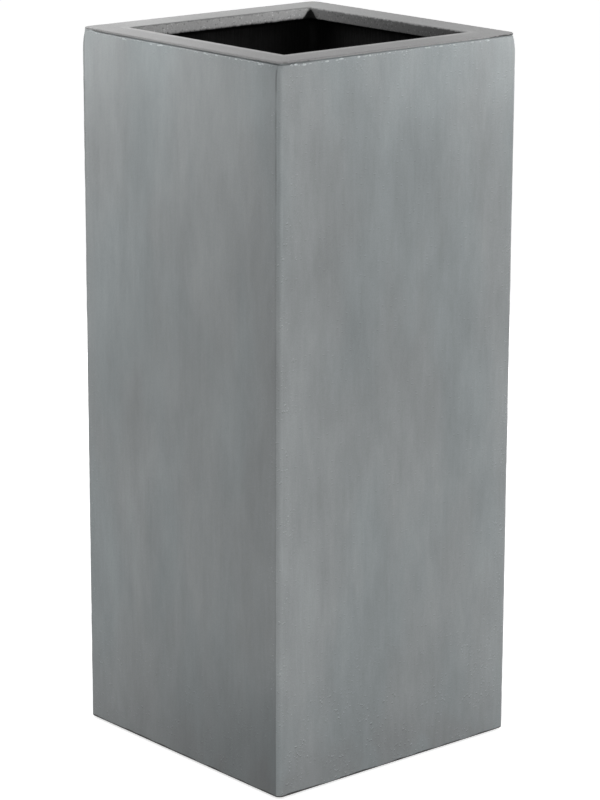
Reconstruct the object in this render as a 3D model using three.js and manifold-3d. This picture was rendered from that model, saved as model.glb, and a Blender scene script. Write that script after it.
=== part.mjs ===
// Tall square planter, moulded in painted glass-fibre laminate.
// Millimetres, +Z up. The origin is the centre of the footprint, on the floor.
//
// A one-piece wall shell carries everything. The rim frame, an inverted channel, laps over its top
// edge and is bonded inside it, and the base tray is bonded inside its bottom edge. Four angle
// ledges bonded to the inner faces of the walls carry a loose pot shelf, which lifts out through
// the mouth. The base stands on four rubber feet, each held by a screw, and falls to a drain with
// a pull plug.

import * as THREE from 'three';
import { mergeVertices } from 'three/addons/utils/BufferGeometryUtils.js';
import Module from 'manifold-3d';

const wasm = await Module();
wasm.setup();

// ---- Driving dimensions ----

// Overall
const WIDTH = 380; // along X, over the walls
const DEPTH = 380; // along Y, over the walls
const HEIGHT = 900; // floor to the top of the rim

// Fits
const BOND_GAP = 0.3; // glue line between bonded pieces
const REST_GAP = 0.3; // between a loose piece and its seat

// Wall shell
const WALL_THICKNESS = 5;
const WALL_CORNER_RADIUS = 7; // upright edges, outside
const WALL_INNER_CORNER_RADIUS = 10; // upright edges, inside, where resin thickens the corner
const WALL_TOP_RADIUS = 2; // softened top edge, outside
const WALL_BOTTOM_RADIUS = 1.5; // softened bottom edge, outside
const WALL_CLEARANCE = 2.5; // floor to the bottom edge of the walls

// Rim frame
const RIM_WIDTH = 46; // outer face of the wall to the mouth
const RIM_THICKNESS = 4;
const RIM_SET_BACK = 1; // edge of the rim behind the outer face of the wall
const RIM_CORNER_RADIUS = 12; // outer corners, seen from above
const RIM_EDGE_RADIUS = 1.2; // outer edge, on top
const LAP_THICKNESS = 2.4; // of the rim where it laps over the wall
const LAP_REVEAL = 0.8; // shadow gap between the lap and the top of the wall
const MOUTH_EDGE_RADIUS = 2.5; // edge that rolls over into the mouth
const MOUTH_CORNER_RADIUS = 3; // corners of the mouth, seen from above
const LIP_DEPTH = 15; // return lip, from the top of the rim
const LIP_THICKNESS = 4;
const LIP_EDGE_RADIUS = 1.3; // lower edge of the lip
const RIM_FLANGE_DEPTH = 24; // leg bonded to the wall, from the top of the rim
const RIM_FLANGE_THICKNESS = 4;
const LAMINATE_FILLET = 2; // inside corners of the moulded channels

// Base tray
const FLOOR_CLEARANCE = 12; // floor of the room to the underside of the tray at the drain
const FLOOR_THICKNESS = 5;
const FLOOR_FALL = 4; // from the walls down to the sump
const SUMP_WIDTH = 72; // flat square round the drain
const BASE_FLANGE_HEIGHT = 32; // leg bonded to the wall, above the underside of the tray
const BASE_FLANGE_THICKNESS = 4;
const BASE_FILLET = 7; // floor to flange, inside

// Drain and plug
const DRAIN_DIAMETER = 30;
const DRAIN_COLLAR_DIAMETER = 54;
const DRAIN_COLLAR_DEPTH = 4; // thickening under the sump
const PLUG_FLANGE_DIAMETER = 42;
const PLUG_FLANGE_THICKNESS = 3;
const PLUG_DEPTH = 12; // below the sump's surface
const PLUG_TAPER = 1; // radius lost over that depth
const PLUG_EDGE_RADIUS = 1.2; // rims of the flange and of the knob
const PLUG_SKIRT_THICKNESS = 4; // the plug is a cup from below
const PLUG_NECK_DIAMETER = 9;
const PLUG_KNOB_DIAMETER = 18;
const PLUG_KNOB_THICKNESS = 5;
const PLUG_KNOB_HEIGHT = 16; // sump to the top of the knob

// Pot shelf
const SHELF_HEIGHT = 480; // floor to the top of the shelf
const SHELF_CLEARANCE = 4; // to the mouth on every side, so that it lifts out
const SHELF_THICKNESS = 4;
const SHELF_CORNER_RADIUS = 18;
const SHELF_EDGE_RADIUS = 3;
const SKIRT_DEPTH = 20; // from the top of the shelf
const SKIRT_THICKNESS = 3.5;
const RIB_DEPTH = 12; // below the panel
const RIB_THICKNESS = 3;
const CELL_WIDTH = 55; // nominal pitch of the ribs
const WEEP_HOLE_DIAMETER = 10;
const FINGER_HOLE_DIAMETER = 34;

// Shelf ledges
const LEDGE_LENGTH = 200;
const LEDGE_THICKNESS = 5;
const LEDGE_LEG = 46; // height of the bonded leg
const LEDGE_BEARING = 12; // reach inside the outer edge of the shelf
const LEDGE_FILLET = 6;
const LEDGE_EDGE_RADIUS = 1.5;
const GUSSET_THICKNESS = 4;
const GUSSET_COUNT = 3;

// Feet and their screws
const FOOT_DIAMETER = 42;
const FOOT_HEIGHT = 9;
const FOOT_TAPER = 2; // radius lost towards the floor
const FOOT_EDGE_RADIUS = 1.5;
const FOOT_INSET = 48; // centre of a foot from the outer faces of the walls
const SCREW_DIAMETER = 4.2;
const SCREW_LENGTH = 18; // under the head
const SCREW_POINT_LENGTH = 3;
const SCREW_HEAD_DIAMETER = 9;
const SCREW_HEAD_HEIGHT = 3;
const SCREW_HOLE_CLEARANCE = 0.3; // radial, in the foot and in its boss
const HEAD_RECESS_DEPTH = 5; // counterbore in the foot
const HEAD_RECESS_CLEARANCE = 1; // radial
const BOSS_WALL = 5; // round the screw's hole
const BOSS_CAP = 3; // over the screw's point

// Facets
const CORNER_STEPS = 6; // along a plan corner
const FILLET_STEPS = 3; // along a quarter turn of an edge or fillet
const ROUND_STEPS = 28; // round the drain, plug and finger holes
const SMALL_ROUND_STEPS = 20; // round the feet and their bosses
const FINE_ROUND_STEPS = 12; // round the screws and weep holes
const WELD_DISTANCE = 1e-4; // points this near are one

// ---- Derived sizes ----

const WALL_TOP = HEIGHT - LAP_THICKNESS - LAP_REVEAL;
const BOND_INSET = WALL_THICKNESS + BOND_GAP; // outer face of what is bonded to the walls
const LEDGE_TOP = SHELF_HEIGHT - SKIRT_DEPTH - REST_GAP;
const SUMP_SURFACE = FLOOR_CLEARANCE + FLOOR_THICKNESS;
const SHELF_INSET = RIM_WIDTH + SHELF_CLEARANCE;
const LEDGE_REACH = SHELF_INSET + LEDGE_BEARING - BOND_INSET;
const SCREW_HOLE_RADIUS = SCREW_DIAMETER / 2 + SCREW_HOLE_CLEARANCE;
const SCREW_SEAT = HEAD_RECESS_DEPTH - REST_GAP;
const SCREW_TIP = SCREW_SEAT + SCREW_LENGTH;
const BOSS_TOP = SCREW_TIP + BOSS_CAP;

// ---- Finishes ----

const finish = (color, roughness, metalness = 0) =>
  new THREE.MeshStandardMaterial({ color, roughness, metalness });

const zincPaint = finish(0x8b9494, 0.5, 0.35);
const blackLaminate = finish(0x141414, 0.75);
const blackPlastic = finish(0x1b1b1c, 0.55);
const rubber = finish(0x101010, 0.9);
const screwSteel = finish(0xb4b6b8, 0.35, 1);

// ---- Outlines ----

// Closed outline through corners [x, y, radius]. A corner with a radius becomes a true arc.
function filletedOutline(corners) {
  return corners.flatMap((corner, index) => {
    const before = corners.at(index - 1);
    const after = corners[(index + 1) % corners.length];
    return roundedCorner(before, corner, after);
  });
}

function roundedCorner([beforeX, beforeY], [x, y, radius = 0], [afterX, afterY]) {
  const corner = new THREE.Vector2(x, y);
  if (radius === 0) return [corner];
  const back = new THREE.Vector2(beforeX, beforeY).sub(corner).normalize();
  const ahead = new THREE.Vector2(afterX, afterY).sub(corner).normalize();
  const halfAngle = Math.acos(back.dot(ahead)) / 2;
  const tangentLength = radius / Math.tan(halfAngle);
  const centre = back.clone().add(ahead).setLength(radius / Math.sin(halfAngle)).add(corner);
  const start = back.clone().multiplyScalar(tangentLength).add(corner).sub(centre);
  const end = ahead.clone().multiplyScalar(tangentLength).add(corner).sub(centre);
  const clockwise = back.cross(ahead) > 0;
  const arc = new THREE.EllipseCurve(
    centre.x, centre.y, radius, radius, start.angle(), end.angle(), clockwise,
  );
  return arc.getPoints(FILLET_STEPS);
}

function anticlockwise(outline) {
  return THREE.ShapeUtils.isClockWise(outline) ? [...outline].reverse() : outline;
}

// Rectangle with round corners in the XY plane, one point after another, anticlockwise.
function planRing(halfWidth, halfDepth, radius) {
  const ring = [];
  for (let quarter = 0; quarter < 4; quarter += 1) {
    const signX = quarter === 0 || quarter === 3 ? 1 : -1;
    const signY = quarter < 2 ? 1 : -1;
    for (let step = 0; step <= CORNER_STEPS; step += 1) {
      const angle = (quarter + step / CORNER_STEPS) * (Math.PI / 2);
      ring.push(new THREE.Vector2(
        signX * (halfWidth - radius) + radius * Math.cos(angle),
        signY * (halfDepth - radius) + radius * Math.sin(angle),
      ));
    }
  }
  return ring;
}

// ---- Geometry ----

// Carries a closed profile, whose points are (inset from the outer face, height), round a
// rectangular plan. The corner radius of the plan follows from the inset. A profile that reaches
// the middle of the plan closes there in a fan.
function sweepRoundPlan(width, depth, profile, radiusAt) {
  const rings = anticlockwise(profile).map(({ x: inset, y: height }) => {
    const ringHalfWidth = Math.max(width / 2 - inset, 0);
    const ringHalfDepth = Math.max(depth / 2 - inset, 0);
    const radius = Math.min(radiusAt(inset), ringHalfWidth, ringHalfDepth);
    return planRing(ringHalfWidth, ringHalfDepth, radius)
      .map((point) => new THREE.Vector3(point.x, point.y, height));
  });
  const ringLength = rings[0].length;
  const index = [];
  for (let ring = 0; ring < rings.length; ring += 1) {
    const here = ring * ringLength;
    const above = ((ring + 1) % rings.length) * ringLength;
    for (let step = 0; step < ringLength; step += 1) {
      const next = (step + 1) % ringLength;
      index.push(here + step, above + step, above + next);
      index.push(here + step, above + next, here + next);
    }
  }
  const geometry = new THREE.BufferGeometry().setFromPoints(rings.flat());
  geometry.setIndex(index);
  return geometry;
}

// Turned solid: the outline's points are (radius, height). LatheGeometry turns about Y, so the
// result is stood up on Z.
function turnedSolid(outline, steps) {
  const points = anticlockwise(outline);
  return new THREE.LatheGeometry([...points, points[0]], steps).rotateX(Math.PI / 2);
}

function turnedCylinder(radius, bottom, top, steps) {
  return turnedSolid(filletedOutline([[0, bottom], [radius, bottom], [radius, top], [0, top]]), steps);
}

function centredBox(sizeX, sizeY, bottom, top) {
  return new THREE.BoxGeometry(sizeX, sizeY, top - bottom).translate(0, 0, (bottom + top) / 2);
}

// ---- Booleans ----

// One vertex per place and no collapsed triangle, which a solid needs.
function welded(geometry) {
  const bare = new THREE.BufferGeometry();
  bare.setAttribute('position', geometry.getAttribute('position').clone());
  bare.setIndex(geometry.index ? geometry.index.clone() : null);
  const merged = mergeVertices(bare, WELD_DISTANCE);
  const kept = [];
  const index = merged.index.array;
  for (let corner = 0; corner < index.length; corner += 3) {
    const [a, b, c] = index.slice(corner, corner + 3);
    if (a !== b && b !== c && c !== a) kept.push(a, b, c);
  }
  merged.setIndex(kept);
  return merged;
}

function toSolid(geometry) {
  const source = welded(geometry);
  return new wasm.Manifold(new wasm.Mesh({
    numProp: 3,
    vertProperties: new Float32Array(source.getAttribute('position').array),
    triVerts: new Uint32Array(source.index.array),
  }));
}

function toGeometry(solid) {
  const { vertProperties, triVerts } = solid.getMesh();
  const geometry = new THREE.BufferGeometry();
  geometry.setAttribute('position', new THREE.BufferAttribute(vertProperties, 3));
  geometry.setIndex(new THREE.BufferAttribute(triVerts, 1));
  return geometry;
}

// The added geometries are joined to the body, and the cut ones are then taken out of it.
function shaped(body, { add = [], cut = [] }) {
  const joined = add.reduce((solid, extra) => solid.add(toSolid(extra)), toSolid(body));
  return toGeometry(cut.reduce((solid, tool) => solid.subtract(toSolid(tool)), joined));
}

function asMesh(name, geometry, material) {
  const mesh = new THREE.Mesh(welded(geometry), material);
  mesh.geometry.computeVertexNormals();
  mesh.name = name;
  return mesh;
}

// ---- Shell, rim and base ----

function wallShell() {
  const profile = filletedOutline([
    [0, WALL_CLEARANCE, WALL_BOTTOM_RADIUS],
    [0, WALL_TOP, WALL_TOP_RADIUS],
    [WALL_THICKNESS, WALL_TOP],
    [WALL_THICKNESS, WALL_CLEARANCE],
  ]);
  const radiusAt = (inset) => THREE.MathUtils.mapLinear(
    inset, 0, WALL_THICKNESS, WALL_CORNER_RADIUS, WALL_INNER_CORNER_RADIUS,
  );
  return asMesh('wall_shell', sweepRoundPlan(WIDTH, DEPTH, profile, radiusAt), zincPaint);
}

// Inverted channel whose top laps over the wall. The outer leg is bonded to the wall, and the
// inner leg is the return lip.
function rimFrame() {
  const lipInset = RIM_WIDTH - LIP_THICKNESS;
  const flangeInset = BOND_INSET + RIM_FLANGE_THICKNESS;
  const lipBottom = HEIGHT - LIP_DEPTH;
  const flangeBottom = HEIGHT - RIM_FLANGE_DEPTH;
  const webUnderside = HEIGHT - RIM_THICKNESS;
  const lapUnderside = HEIGHT - LAP_THICKNESS;
  const profile = filletedOutline([
    [RIM_SET_BACK, lapUnderside],
    [RIM_SET_BACK, HEIGHT, RIM_EDGE_RADIUS],
    [RIM_WIDTH, HEIGHT, MOUTH_EDGE_RADIUS],
    [RIM_WIDTH, lipBottom, LIP_EDGE_RADIUS],
    [lipInset, lipBottom, LIP_EDGE_RADIUS],
    [lipInset, webUnderside, LAMINATE_FILLET],
    [flangeInset, webUnderside, LAMINATE_FILLET],
    [flangeInset, flangeBottom],
    [BOND_INSET, flangeBottom],
    [BOND_INSET, lapUnderside],
  ]);
  const radiusAt = (inset) => THREE.MathUtils.mapLinear(
    inset, RIM_SET_BACK, RIM_WIDTH, RIM_CORNER_RADIUS, MOUTH_CORNER_RADIUS,
  );
  return asMesh('rim_frame', sweepRoundPlan(WIDTH, DEPTH, profile, radiusAt), zincPaint);
}

// Tray with an upstand bonded to the walls. Its floor falls to a flat sump, where a collar
// thickens the drain. A foot seats on a pad below each corner, and its screw ends in the boss above.
function baseTray() {
  const flangeInset = BOND_INSET + BASE_FLANGE_THICKNESS;
  const centre = Math.max(WIDTH, DEPTH) / 2;
  const sumpInset = centre - SUMP_WIDTH / 2;
  const edgeUnderside = FLOOR_CLEARANCE + FLOOR_FALL;
  const flangeTop = edgeUnderside + BASE_FLANGE_HEIGHT;
  const profile = filletedOutline([
    [BOND_INSET, edgeUnderside, BASE_FILLET - BASE_FLANGE_THICKNESS],
    [BOND_INSET, flangeTop],
    [flangeInset, flangeTop],
    [flangeInset, edgeUnderside + FLOOR_THICKNESS, BASE_FILLET],
    [sumpInset, SUMP_SURFACE],
    [centre, SUMP_SURFACE],
    [centre, FLOOR_CLEARANCE],
    [sumpInset, FLOOR_CLEARANCE],
  ]);
  const tray = sweepRoundPlan(WIDTH, DEPTH, profile, () => WALL_INNER_CORNER_RADIUS);
  const insideSump = FLOOR_CLEARANCE + FLOOR_THICKNESS / 2;
  const collar = turnedCylinder(
    DRAIN_COLLAR_DIAMETER / 2, FLOOR_CLEARANCE - DRAIN_COLLAR_DEPTH, insideSump, ROUND_STEPS,
  );
  const drain = turnedCylinder(DRAIN_DIAMETER / 2, 0, 2 * SUMP_SURFACE, ROUND_STEPS);
  const undersideAtFoot = THREE.MathUtils.mapLinear(
    FOOT_INSET, BOND_INSET, sumpInset, edgeUnderside, FLOOR_CLEARANCE,
  );
  const insideFloor = undersideAtFoot + FLOOR_THICKNESS / 2;
  const padBottom = FOOT_HEIGHT + REST_GAP;
  const boss = SCREW_HOLE_RADIUS + BOSS_WALL;
  const pads = atFeet(turnedCylinder(FOOT_DIAMETER / 2, padBottom, insideFloor, SMALL_ROUND_STEPS));
  const bosses = atFeet(turnedCylinder(boss, padBottom, BOSS_TOP, SMALL_ROUND_STEPS));
  const pilots = atFeet(
    turnedCylinder(SCREW_HOLE_RADIUS, 0, SCREW_TIP + REST_GAP, SMALL_ROUND_STEPS),
  );
  return asMesh('base_tray', shaped(tray, {
    add: [collar, ...pads, ...bosses],
    cut: [drain, ...pilots],
  }), blackLaminate);
}

function atFeet(geometry) {
  return footCentres().map(([, x, y]) => geometry.clone().translate(x, y, 0));
}

// ---- Drain plug ----

// Rubber cup with a sealing flange and a knob to pull it by.
function drainPlug() {
  const bodyTop = DRAIN_DIAMETER / 2 - REST_GAP;
  const bodyBottom = bodyTop - PLUG_TAPER;
  const flangeTop = REST_GAP + PLUG_FLANGE_THICKNESS;
  const outline = filletedOutline([
    [0, PLUG_KNOB_HEIGHT],
    [PLUG_KNOB_DIAMETER / 2, PLUG_KNOB_HEIGHT, PLUG_EDGE_RADIUS],
    [PLUG_KNOB_DIAMETER / 2, PLUG_KNOB_HEIGHT - PLUG_KNOB_THICKNESS, PLUG_EDGE_RADIUS],
    [PLUG_NECK_DIAMETER / 2, PLUG_KNOB_HEIGHT - PLUG_KNOB_THICKNESS],
    [PLUG_NECK_DIAMETER / 2, flangeTop, LAMINATE_FILLET],
    [PLUG_FLANGE_DIAMETER / 2, flangeTop, PLUG_EDGE_RADIUS],
    [PLUG_FLANGE_DIAMETER / 2, REST_GAP],
    [bodyTop, REST_GAP],
    [bodyBottom, -PLUG_DEPTH],
    [bodyBottom - PLUG_SKIRT_THICKNESS, -PLUG_DEPTH],
    [bodyTop - PLUG_SKIRT_THICKNESS, REST_GAP, LAMINATE_FILLET],
    [0, REST_GAP],
  ]);
  const plug = asMesh('drain_plug', turnedSolid(outline, ROUND_STEPS), rubber);
  plug.position.z = SUMP_SURFACE;
  return plug;
}

// ---- Pot shelf ----

// Inverted tray with a grid of ribs. Every cell of the grid drains through a weep hole, apart
// from the two at the ends of the middle row, which have a finger hole to lift the shelf by.
function potShelf() {
  const width = WIDTH - 2 * SHELF_INSET;
  const depth = DEPTH - 2 * SHELF_INSET;
  const centre = Math.max(width, depth) / 2;
  const panelUnderside = SHELF_HEIGHT - SHELF_THICKNESS;
  const skirtBottom = SHELF_HEIGHT - SKIRT_DEPTH;
  const profile = filletedOutline([
    [0, skirtBottom],
    [0, SHELF_HEIGHT, SHELF_EDGE_RADIUS],
    [centre, SHELF_HEIGHT],
    [centre, panelUnderside],
    [SKIRT_THICKNESS, panelUnderside, LAMINATE_FILLET],
    [SKIRT_THICKNESS, skirtBottom],
  ]);
  const radiusAt = (inset) => Math.max(SHELF_CORNER_RADIUS - inset, LAMINATE_FILLET);
  const tray = sweepRoundPlan(width, depth, profile, radiusAt);

  const columns = oddCount(width);
  const rows = oddCount(depth);
  const columnPitch = width / columns;
  const rowPitch = depth / rows;
  const ribBottom = panelUnderside - RIB_DEPTH;
  const ribTop = panelUnderside + SHELF_THICKNESS / 2;
  const ribLengthX = width - SKIRT_THICKNESS;
  const ribLengthY = depth - SKIRT_THICKNESS;
  const ribs = [
    ...gridLines(columns, columnPitch).map((x) =>
      centredBox(RIB_THICKNESS, ribLengthY, ribBottom, ribTop).translate(x, 0, 0)),
    ...gridLines(rows, rowPitch).map((y) =>
      centredBox(ribLengthX, RIB_THICKNESS, ribBottom, ribTop).translate(0, y, 0)),
  ];

  const lastColumn = (columns - 1) / 2;
  const lastRow = (rows - 1) / 2;
  const holes = [];
  for (let column = -lastColumn; column <= lastColumn; column += 1) {
    for (let row = -lastRow; row <= lastRow; row += 1) {
      const lifts = row === 0 && Math.abs(column) === lastColumn;
      const diameter = lifts ? FINGER_HOLE_DIAMETER : WEEP_HOLE_DIAMETER;
      const steps = lifts ? ROUND_STEPS : FINE_ROUND_STEPS;
      holes.push(turnedCylinder(diameter / 2, ribBottom, SHELF_HEIGHT + SHELF_THICKNESS, steps)
        .translate(column * columnPitch, row * rowPitch, 0));
    }
  }
  return asMesh('pot_shelf', shaped(tray, { add: ribs, cut: holes }), blackPlastic);
}

// Odd number of cells near the nominal width, so that one row runs through the middle.
function oddCount(span) {
  return Math.max(2 * Math.round((span / CELL_WIDTH - 1) / 2) + 1, 3);
}

// Places of the lines between so many cells of one pitch, about the middle.
function gridLines(cells, pitch) {
  return Array.from({ length: cells - 1 }, (_, line) => (line + 1 - cells / 2) * pitch);
}

// ---- Shelf ledges ----

// Angle section with its bonded leg down the wall. Gussets below the shelf leg stiffen it.
// It is drawn against the wall at +X, whose inner face is its x = 0, and reaches towards -X.
function ledgeGeometry() {
  const angle = filletedOutline([
    [0, 0],
    [0, -LEDGE_LEG, LEDGE_EDGE_RADIUS],
    [-LEDGE_THICKNESS, -LEDGE_LEG, LEDGE_EDGE_RADIUS],
    [-LEDGE_THICKNESS, -LEDGE_THICKNESS, LEDGE_FILLET],
    [-LEDGE_REACH, -LEDGE_THICKNESS, LEDGE_EDGE_RADIUS],
    [-LEDGE_REACH, 0, LEDGE_EDGE_RADIUS],
  ]);
  const gusset = filletedOutline([
    [-LEDGE_THICKNESS / 2, -LEDGE_THICKNESS / 2],
    [-LEDGE_THICKNESS / 2, LEDGE_THICKNESS - LEDGE_LEG],
    [-LEDGE_THICKNESS, LEDGE_THICKNESS - LEDGE_LEG],
    [LEDGE_THICKNESS - LEDGE_REACH, -LEDGE_THICKNESS],
    [LEDGE_THICKNESS - LEDGE_REACH, -LEDGE_THICKNESS / 2],
  ]);
  const gussetPitch = (LEDGE_LENGTH - GUSSET_THICKNESS) / GUSSET_COUNT;
  const gussets = gridLines(GUSSET_COUNT + 1, gussetPitch).map((y) =>
    standing(gusset, GUSSET_THICKNESS).translate(0, y, 0));
  return shaped(standing(angle, LEDGE_LENGTH), { add: gussets });
}

// Outline drawn in (x, height), extruded along Y and centred on it.
function standing(outline, length) {
  return new THREE.ExtrudeGeometry(new THREE.Shape(outline), { depth: length, bevelEnabled: false })
    .translate(0, 0, -length / 2)
    .rotateX(Math.PI / 2);
}

function shelfLedges() {
  const geometry = ledgeGeometry();
  const walls = [
    ['right', WIDTH / 2, 0],
    ['back', DEPTH / 2, 1],
    ['left', WIDTH / 2, 2],
    ['front', DEPTH / 2, 3],
  ];
  return walls.map(([side, halfSpan, quarterTurns]) => {
    const ledge = asMesh(`shelf_ledge_${side}`, geometry, blackLaminate);
    ledge.position.set(halfSpan - BOND_INSET, 0, LEDGE_TOP);
    const turned = new THREE.Group();
    turned.rotation.z = quarterTurns * (Math.PI / 2);
    turned.add(ledge);
    return turned;
  });
}

// ---- Feet and screws ----

function footCentres() {
  const x = WIDTH / 2 - FOOT_INSET;
  const y = DEPTH / 2 - FOOT_INSET;
  return [
    ['front_left', -x, -y],
    ['front_right', x, -y],
    ['back_right', x, y],
    ['back_left', -x, y],
  ];
}

function atEachFoot(name, geometry, material) {
  return footCentres().map(([corner, x, y]) => {
    const mesh = asMesh(`${name}_${corner}`, geometry, material);
    mesh.position.set(x, y, 0);
    return mesh;
  });
}

// Rubber pads that narrow to the floor, counterbored from below for the head of the screw.
function feet() {
  const headRecess = SCREW_HEAD_DIAMETER / 2 + HEAD_RECESS_CLEARANCE;
  const outline = filletedOutline([
    [headRecess, 0],
    [FOOT_DIAMETER / 2 - FOOT_TAPER, 0, FOOT_EDGE_RADIUS],
    [FOOT_DIAMETER / 2, FOOT_HEIGHT],
    [SCREW_HOLE_RADIUS, FOOT_HEIGHT],
    [SCREW_HOLE_RADIUS, HEAD_RECESS_DEPTH],
    [headRecess, HEAD_RECESS_DEPTH],
  ]);
  return atEachFoot('foot', turnedSolid(outline, SMALL_ROUND_STEPS), rubber);
}

// Self-tapping screws, head down. The shank starts at the seat of the head.
function footScrews() {
  const shank = SCREW_DIAMETER / 2;
  const outline = filletedOutline([
    [0, SCREW_SEAT - SCREW_HEAD_HEIGHT],
    [SCREW_HEAD_DIAMETER / 2, SCREW_SEAT - SCREW_HEAD_HEIGHT, SCREW_HEAD_HEIGHT / 2],
    [SCREW_HEAD_DIAMETER / 2, SCREW_SEAT],
    [shank, SCREW_SEAT],
    [shank, SCREW_TIP - SCREW_POINT_LENGTH],
    [0, SCREW_TIP],
  ]);
  return atEachFoot('foot_screw', turnedSolid(outline, FINE_ROUND_STEPS), screwSteel);
}

// ---- The planter ----

const planter = new THREE.Group();
planter.add(
  wallShell(),
  rimFrame(),
  baseTray(),
  drainPlug(),
  potShelf(),
  ...shelfLedges(),
  ...feet(),
  ...footScrews(),
);

export default planter;
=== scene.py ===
"""Looks of a tall square planter with a brushed zinc-grey finish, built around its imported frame.

Metres, +Z up, in the frame's own axes. The walls and the rim are fine meshes with the small faults
of hand-made work. The pieces inside and underneath keep the frame's solids or follow their sizes.
"""

import math
import random

import bmesh
import bpy
from mathutils import Matrix, Vector, noise


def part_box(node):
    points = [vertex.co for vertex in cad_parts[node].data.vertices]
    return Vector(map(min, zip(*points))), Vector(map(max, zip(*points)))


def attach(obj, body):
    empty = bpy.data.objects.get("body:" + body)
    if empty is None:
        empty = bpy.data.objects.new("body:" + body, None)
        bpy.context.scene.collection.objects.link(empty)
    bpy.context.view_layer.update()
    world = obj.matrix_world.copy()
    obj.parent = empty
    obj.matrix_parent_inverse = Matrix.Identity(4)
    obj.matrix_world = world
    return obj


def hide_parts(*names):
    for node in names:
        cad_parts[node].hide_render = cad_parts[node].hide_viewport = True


MM = 0.001

# ---- Sizes ----

# Walls
WALL_THICKNESS = 5 * MM
WALL_CORNER_RADIUS = 7 * MM
WALL_INNER_CORNER_RADIUS = 10 * MM
WALL_TOP_RADIUS = 2 * MM
WALL_BOTTOM_RADIUS = 1.5 * MM
LINING_THICKNESS = 0.25 * MM  # black resin on the inner faces of the walls

# Rim
RIM_WIDTH = 43 * MM  # the photograph's, 3 mm less than the frame's
RIM_THICKNESS = 4 * MM
RIM_SET_BACK = 1 * MM
RIM_CORNER_RADIUS = 12 * MM
RIM_EDGE_RADIUS = 1.2 * MM
LAP_THICKNESS = 2.4 * MM
MOUTH_EDGE_RADIUS = 1.0 * MM
MOUTH_CORNER_RADIUS = 2 * MM
LIP_DEPTH = 15 * MM
LIP_THICKNESS = 4 * MM
LIP_EDGE_RADIUS = 1.3 * MM
RIM_FLANGE_DEPTH = 24 * MM
RIM_FLANGE_THICKNESS = 4 * MM
LAMINATE_FILLET = 2 * MM
BOND_GAP = 0.3 * MM

# Lining of the walls, short of their bottom edge and of the rim's top
LINING_CLEARANCE = 0.05 * MM
LINING_BOTTOM_SHORT = 1 * MM
LINING_TOP_SHORT = 6 * MM

# Joint below the rim
JOINT_TIGHT = 0.25 * MM  # gap where paint nearly fills it
JOINT_OPEN = 1.25 * MM  # gap at the corner where it gapes most
JOINT_PAINT_TOP_SHORT = 1.8 * MM  # below the rim's top

# Faults of hand-made work. The faces lie this far inside the frame's, which leaves room for them.
FACE_SINK = 0.45 * MM
FACE_WAVE = 0.16 * MM
EDGE_WAVE = 0.22 * MM
RIM_WAVE = 0.14 * MM
MOUTH_EDGE_WAVE = 0.16 * MM
RIM_EDGE_WAVE = 0.35 * MM
CORNER_WEAR = 3.2 * MM  # the walls' upper corners are rubbed back this far, to meet the rim's
CORNER_WEAR_HEIGHT = 24 * MM

# Foot screws, whose length and head diameter come from the frame
SCREW_HEAD_HEIGHT = 3 * MM
SCREW_DIAMETER = 4.2 * MM
SCREW_POINT_LENGTH = 3 * MM
SCREW_NECK = 1 * MM  # plain shank next to the head
THREAD_PITCH = 1.4 * MM
THREAD_DEPTH = 0.5 * MM
CROSS_LENGTH = 4.4 * MM
CROSS_WIDTH = 0.9 * MM
CROSS_DEPTH = 1.4 * MM

# Paint beads
BEADS_ALONG_JOINT = 60  # on each side
BEAD_CLUSTERS = 7  # on each side
BEADS_IN_CLUSTER = 7
BEAD_STANDS_OUT = 0.4 * MM

# Mesh steps
FACE_STEP = 8 * MM
ROW_STEP = 5 * MM
CORNER_STEPS = 10
FILLET_STEPS = 5
SCREW_STEPS = 40
SCREW_RING = 0.2 * MM
BEAD_RINGS = 5
BEAD_STEPS = 8

# ---- Photograph's camera ----

CAMERA_YAW = math.radians(40.62)
CAMERA_PITCH = math.radians(14.84)
CAMERA_ROLL = math.radians(0.17)
CAMERA_DISTANCE = 3.928
CAMERA_AIM_RIGHT = 3.8 * MM
CAMERA_AIM_UP = -17.5 * MM
CAMERA_LENS = 140.5  # for a sensor 36 mm along the picture's long side

# ---- Colours, linear ----

ZINC_COOL = (0.229, 0.2505, 0.2555)
ZINC_WARM = (0.2355, 0.2495, 0.2525)
ZINC_DULL_LOW = (0.229, 0.241, 0.2445)
RIM_GREY = (0.310, 0.310, 0.310)
RIM_GREY_DULL = (0.290, 0.290, 0.290)
BOTTOM_SHADOW_GREY = (0.030, 0.030, 0.029)  # painted shadow along the bottom edge of the walls
RESIN_BLACK = (0.0045, 0.0045, 0.0045)
PLASTIC_BLACK = (0.012, 0.012, 0.013)
RUBBER_BLACK = (0.014, 0.014, 0.014)
SCREW_STEEL = (0.52, 0.52, 0.51)
FLOOR_PALE = (0.80, 0.80, 0.80, 1.0)

# ---- Floor and light ----

FLOOR_REACH = 30.0
FLOOR_GLOW = 0.68  # lifts the floor to white where it is seen
AMBIENT = 0.42  # strength of the light from all round on the surfaces

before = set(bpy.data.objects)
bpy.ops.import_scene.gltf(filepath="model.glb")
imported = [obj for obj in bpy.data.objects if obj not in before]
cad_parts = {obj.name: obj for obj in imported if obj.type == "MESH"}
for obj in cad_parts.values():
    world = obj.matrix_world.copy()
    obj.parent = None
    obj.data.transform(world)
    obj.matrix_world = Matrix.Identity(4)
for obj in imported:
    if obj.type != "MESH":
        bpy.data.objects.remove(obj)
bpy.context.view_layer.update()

wall_low, wall_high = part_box("wall_shell")
_, rim_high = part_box("rim_frame")
HALF = wall_high.x
WALL_BOTTOM = wall_low.z
RIM_TOP = rim_high.z
LAP_UNDERSIDE = RIM_TOP - LAP_THICKNESS


# ---- Outlines ----

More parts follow.
